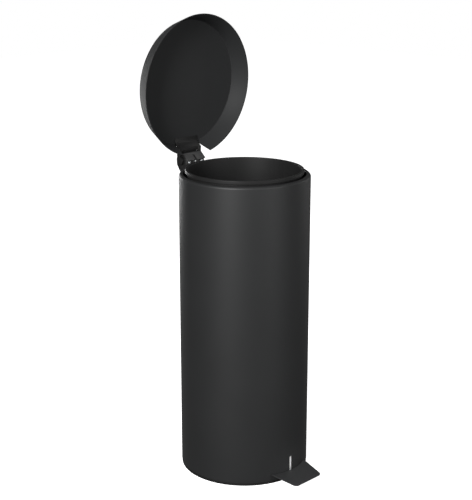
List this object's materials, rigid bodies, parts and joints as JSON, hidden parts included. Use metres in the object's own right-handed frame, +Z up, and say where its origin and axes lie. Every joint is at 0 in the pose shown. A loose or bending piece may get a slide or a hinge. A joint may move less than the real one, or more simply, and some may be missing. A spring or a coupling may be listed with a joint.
{
  "type": "pedal trash can",
  "caption": "Round pedal bin: tall steel cylinder on a flat base, lift-out bucket, flared-skirt lid on a rear hinge, and a front foot pedal that opens the lid through a lever and push rod.",
  "frame": {"origin": "centre of the flat underside of the rubber foot, on the axis of the round body", "axes": "+Z up along the body's axis, -Y towards the front where the pedal is, +Y towards the lid hinge, X left to right; the lid stands open and the pedal is down"},
  "size_m": [0.2746, 0.3346, 0.8762],
  "materials": {
    "powder_coat": "fine matt black powder coat on sheet steel",
    "bucket_plastic": "satin moulded black plastic",
    "black_plastic": "moulded black plastic with a fine grain",
    "hinge_steel": "dark coated pressed steel",
    "zinc": "bright zinc plate",
    "nylon": "white nylon",
    "rubber": "matt black rubber"
  },
  "bodies": {
    "body": {"body_shell": "powder_coat", "base_moulding": "black_plastic", "base_foot": "rubber", "bucket_stand": "black_plastic", "stand_screw_1": "zinc", "stand_screw_2": "zinc", "stand_screw_3": "zinc", "stand_screw_4": "zinc", "fulcrum_bracket": "hinge_steel", "fulcrum_pin": "zinc", "fulcrum_clip_left": "zinc", "fulcrum_clip_right": "zinc", "bracket_screw_left": "zinc", "bracket_screw_right": "zinc", "front_stop_pad": "rubber", "rear_stop_pad": "rubber", "rod_guide_lower": "black_plastic", "rod_guide_upper": "black_plastic", "guide_rivet_lower_left": "powder_coat", "guide_rivet_lower_right": "powder_coat", "guide_rivet_upper_left": "powder_coat", "guide_rivet_upper_right": "powder_coat", "hinge_block": "black_plastic", "hinge_cover": "hinge_steel", "cover_screw_left": "zinc", "cover_screw_right": "zinc", "hinge_bolt_left": "zinc", "hinge_bolt_right": "zinc", "bolt_washer_left": "zinc", "bolt_washer_right": "zinc"},
    "lid": {"lid_cap": "powder_coat", "lid_bracket": "black_plastic", "lid_crank": "hinge_steel", "hinge_pin": "zinc"},
    "pedal": {"pedal_lever": "zinc", "lever_bush": "nylon", "pedal_plate": "powder_coat", "slot_shield": "nylon", "shield_rivet": "zinc"},
    "push_rod": {"push_rod": "zinc", "rod_foot": "black_plastic", "rod_foot_pin": "zinc", "rod_head": "hinge_steel", "elbow_rivet": "zinc"},
    "bucket": {"inner_bucket": "bucket_plastic"}
  },
  "joints": [
    {"name": "lid_hinge", "type": "hinge", "parent": "body", "child": "lid", "pos_m": [0, 0.1475, 0.5929], "axis": [1, 0, 0], "range_deg": [0, 86.8]},
    {"name": "pedal_pivot", "type": "hinge", "parent": "body", "child": "pedal", "pos_m": [0, 0.026, 0.026], "axis": [1, 0, 0], "range_deg": [-9.6, 0]},
    {"name": "rod_slide", "type": "slide", "parent": "body", "child": "push_rod", "axis": [0, 0, 1], "range_m": [-0.0152, 0]},
    {"name": "bucket_lift", "type": "slide", "parent": "body", "child": "bucket", "axis": [0, 0, 1], "range_m": [0, 0.56]}
  ],
  "couplings": [
    {"joint": "pedal_pivot", "follows": "lid_hinge", "ratio": -0.11026},
    {"joint": "rod_slide", "follows": "lid_hinge", "m_per_rad": -0.0099871}
  ]
}
